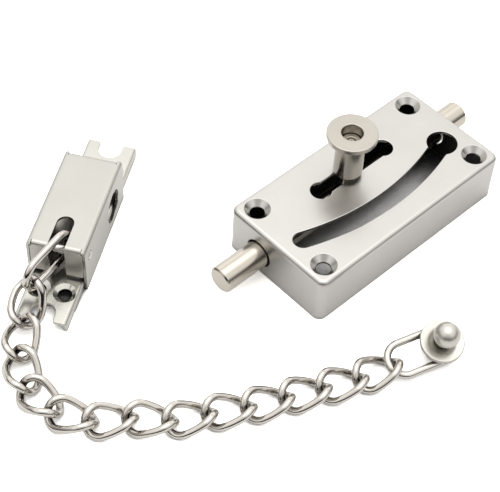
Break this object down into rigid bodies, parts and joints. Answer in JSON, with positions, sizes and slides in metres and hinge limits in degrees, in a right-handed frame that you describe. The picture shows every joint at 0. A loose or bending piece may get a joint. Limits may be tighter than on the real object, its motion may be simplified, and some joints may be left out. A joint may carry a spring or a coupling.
{
  "type": "door chain guard",
  "caption": "Sliding door bolt in a pressed steel housing, with a keeper, and a chain whose ball button slides in the housing's arc slot.",
  "frame": {"origin": "on the back rim of the bolt housing, in the middle of its long wall on the arc slot's side", "axes": "+Z away from the door, +X along the bolt, +Y from the arc slot's side to the bolt's side"},
  "size_m": [0.1789, 0.1412, 0.0356],
  "materials": {
    "housing_steel": "satin brushed stainless, fine grain along the length",
    "keeper_steel": "satin brushed stainless",
    "base_steel": "satin stainless with rolled edges",
    "bolt_steel": "polished, slightly warm",
    "knob_steel": "turned and polished, satin top",
    "stud_steel": "turned",
    "spring_steel": "drawn wire",
    "pin_steel": "turned, with peened ends",
    "chain_steel": "bright polished wire",
    "button_steel": "turned and polished",
    "washer_steel": "satin"
  },
  "bodies": {
    "housing": {"bolt_housing": "housing_steel"},
    "bolt": {"bolt_rod": "bolt_steel", "knob_stud": "stud_steel", "knob_spring": "spring_steel"},
    "knob": {"knob_sleeve": "knob_steel"},
    "keeper": {"keeper_cover": "keeper_steel", "keeper_base": "base_steel", "keeper_pin": "pin_steel"},
    "keeper_link": {"keeper_link": "chain_steel"},
    "chain_link_02": {"chain_link_02": "chain_steel"},
    "chain_link_03": {"chain_link_03": "chain_steel"},
    "chain_link_04": {"chain_link_04": "chain_steel"},
    "chain_link_05": {"chain_link_05": "chain_steel"},
    "chain_link_06": {"chain_link_06": "chain_steel"},
    "chain_link_07": {"chain_link_07": "chain_steel"},
    "chain_link_08": {"chain_link_08": "chain_steel"},
    "chain_link_09": {"chain_link_09": "chain_steel"},
    "chain_link_10": {"chain_link_10": "chain_steel"},
    "chain_link_11": {"chain_link_11": "chain_steel"},
    "chain_link_12": {"chain_link_12": "chain_steel"},
    "chain_link_13": {"chain_link_13": "chain_steel"},
    "chain_link_14": {"chain_link_14": "chain_steel"},
    "end_link": {"end_link": "chain_steel"},
    "button": {"chain_button": "button_steel", "button_washer": "washer_steel"}
  },
  "joints": [
    {"name": "bolt_slide", "type": "slide", "parent": "housing", "child": "bolt", "axis": [1, 0, 0], "range_m": [-0.0114, 0.0158]},
    {"name": "knob_lift", "type": "slide", "parent": "bolt", "child": "knob", "axis": [0, 0, 1], "range_m": [0, 0.003], "stiffness_N_per_m": 400, "springref_m": -0.002, "deforming": ["knob_spring"]},
    {"name": "keeper_travel", "type": "slide", "parent": "housing", "child": "keeper", "axis": [-1, 0, 0], "range_m": [-0.01, 0.02]},
    {"name": "keeper_link_swing", "type": "hinge", "parent": "keeper", "child": "keeper_link", "pos_m": [-0.0862, 0.06562, 0.0117], "axis": [-0.5534, 0.8329, 0], "range_deg": [0, 20]},
    {"name": "chain_link_02_turn", "type": "hinge", "parent": "keeper_link", "child": "chain_link_02", "pos_m": [-0.10073, 0.06177, 0.01095], "axis": [0, 0, 1], "range_deg": [-10, 10]},
    {"name": "chain_link_03_turn", "type": "hinge", "parent": "chain_link_02", "child": "chain_link_03", "pos_m": [-0.10827, 0.05545, 0.0051], "axis": [0, 0, -1], "range_deg": [-10, 10]},
    {"name": "chain_link_04_turn", "type": "hinge", "parent": "chain_link_03", "child": "chain_link_04", "pos_m": [-0.11675, 0.04782, 0.0041], "axis": [0, 0, 1], "range_deg": [-10, 10]},
    {"name": "chain_link_05_turn", "type": "hinge", "parent": "chain_link_04", "child": "chain_link_05", "pos_m": [-0.12158, 0.03745, 0.00345], "axis": [0, 0, -1], "range_deg": [-10, 10]},
    {"name": "chain_link_06_turn", "type": "hinge", "parent": "chain_link_05", "child": "chain_link_06", "pos_m": [-0.12098, 0.02602, 0.00345], "axis": [0, 0, 1], "range_deg": [-10, 10]},
    {"name": "chain_link_07_turn", "type": "hinge", "parent": "chain_link_06", "child": "chain_link_07", "pos_m": [-0.11543, 0.016, 0.00345], "axis": [0, 0, -1], "range_deg": [-10, 10]},
    {"name": "chain_link_08_turn", "type": "hinge", "parent": "chain_link_07", "child": "chain_link_08", "pos_m": [-0.10594, 0.0096, 0.00345], "axis": [0, 0, 1], "range_deg": [-10, 10]},
    {"name": "chain_link_09_turn", "type": "hinge", "parent": "chain_link_08", "child": "chain_link_09", "pos_m": [-0.09827, 0.00109, 0.00345], "axis": [0, 0, -1], "range_deg": [-10, 10]},
    {"name": "chain_link_10_turn", "type": "hinge", "parent": "chain_link_09", "child": "chain_link_10", "pos_m": [-0.08816, -0.00428, 0.00345], "axis": [0, 0, 1], "range_deg": [-10, 10]},
    {"name": "chain_link_11_turn", "type": "hinge", "parent": "chain_link_10", "child": "chain_link_11", "pos_m": [-0.07835, -0.01018, 0.00345], "axis": [0, 0, -1], "range_deg": [-10, 10]},
    {"name": "chain_link_12_turn", "type": "hinge", "parent": "chain_link_11", "child": "chain_link_12", "pos_m": [-0.06797, -0.01502, 0.00345], "axis": [0, 0, 1], "range_deg": [-10, 10]},
    {"name": "chain_link_13_turn", "type": "hinge", "parent": "chain_link_12", "child": "chain_link_13", "pos_m": [-0.05759, -0.01986, 0.00345], "axis": [0, 0, -1], "range_deg": [-10, 10]},
    {"name": "chain_link_14_turn", "type": "hinge", "parent": "chain_link_13", "child": "chain_link_14", "pos_m": [-0.04722, -0.0247, 0.00345], "axis": [0, 0, 1], "range_deg": [-10, 10]},
    {"name": "end_link_turn", "type": "hinge", "parent": "chain_link_14", "child": "end_link", "pos_m": [-0.03611, -0.02747, 0.00385], "axis": [0, 0, -1], "range_deg": [-15, 15]},
    {"name": "button_turn", "type": "hinge", "parent": "end_link", "child": "button", "pos_m": [-0.02058, -0.03146, 0.00162], "axis": [-0.0963, -0.2588, 0.9611], "continuous": true}
  ]
}
